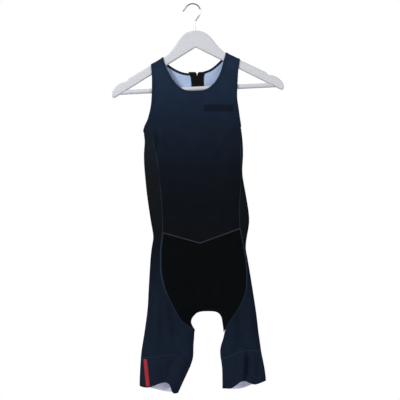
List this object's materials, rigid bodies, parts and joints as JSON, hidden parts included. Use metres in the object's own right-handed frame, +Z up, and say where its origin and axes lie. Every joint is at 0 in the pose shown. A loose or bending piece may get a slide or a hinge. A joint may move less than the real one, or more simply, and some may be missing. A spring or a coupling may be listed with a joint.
{
  "type": "cycling suit on clothes hanger, held by mount hang_point of kind other",
  "caption": "Sleeveless one-piece cycling suit with short legs, hung flat on a wooden clothes hanger.",
  "frame": {"origin": "inside top of the hanger's hook, where a rail or nail carries it (mount hang_point)", "axes": "+X to the viewer's right looking at the suit's front, +Y towards the suit's back, +Z up"},
  "size_m": [0.445, 0.0414, 1.0101],
  "materials": {
    "navy": "matt knitted stretch cloth, dark navy",
    "side_navy": "matt knitted stretch cloth, dark navy",
    "brief_black": "matt knitted stretch cloth, black",
    "seat_black": "matt knitted stretch cloth, black",
    "band_navy": "matt knitted stretch cloth, dark navy",
    "binding": "folded stretch binding, dark navy",
    "tape": "woven zip tape, black",
    "zip_metal": "dark enamelled metal",
    "white_paint": "white painted wood, satin",
    "steel": "bright drawn wire"
  },
  "bodies": {
    "root": {"front_body": "navy", "back_left": "navy", "back_right": "navy", "side_leg_left": "side_navy", "side_leg_right": "side_navy", "front_brief": "brief_black", "back_seat": "seat_black", "leg_band_left": "band_navy", "leg_band_right": "band_navy", "neck_binding": "binding", "armhole_binding_left": "binding", "armhole_binding_right": "binding", "zip_tape_left": "tape", "zip_tape_right": "tape", "zip_slider": "zip_metal", "hanger_body": "white_paint", "hanger_bar": "white_paint", "hanger_hook": "steel"},
    "pull_tab": {"zip_pull_tab": "zip_metal"}
  },
  "joints": [
    {"name": "pull_tab_hinge", "type": "hinge", "parent": "root", "child": "pull_tab", "pos_m": [0.01219, 0.0172, -0.18532], "axis": [1, 0, 0], "range_deg": [0, 150]}
  ]
}
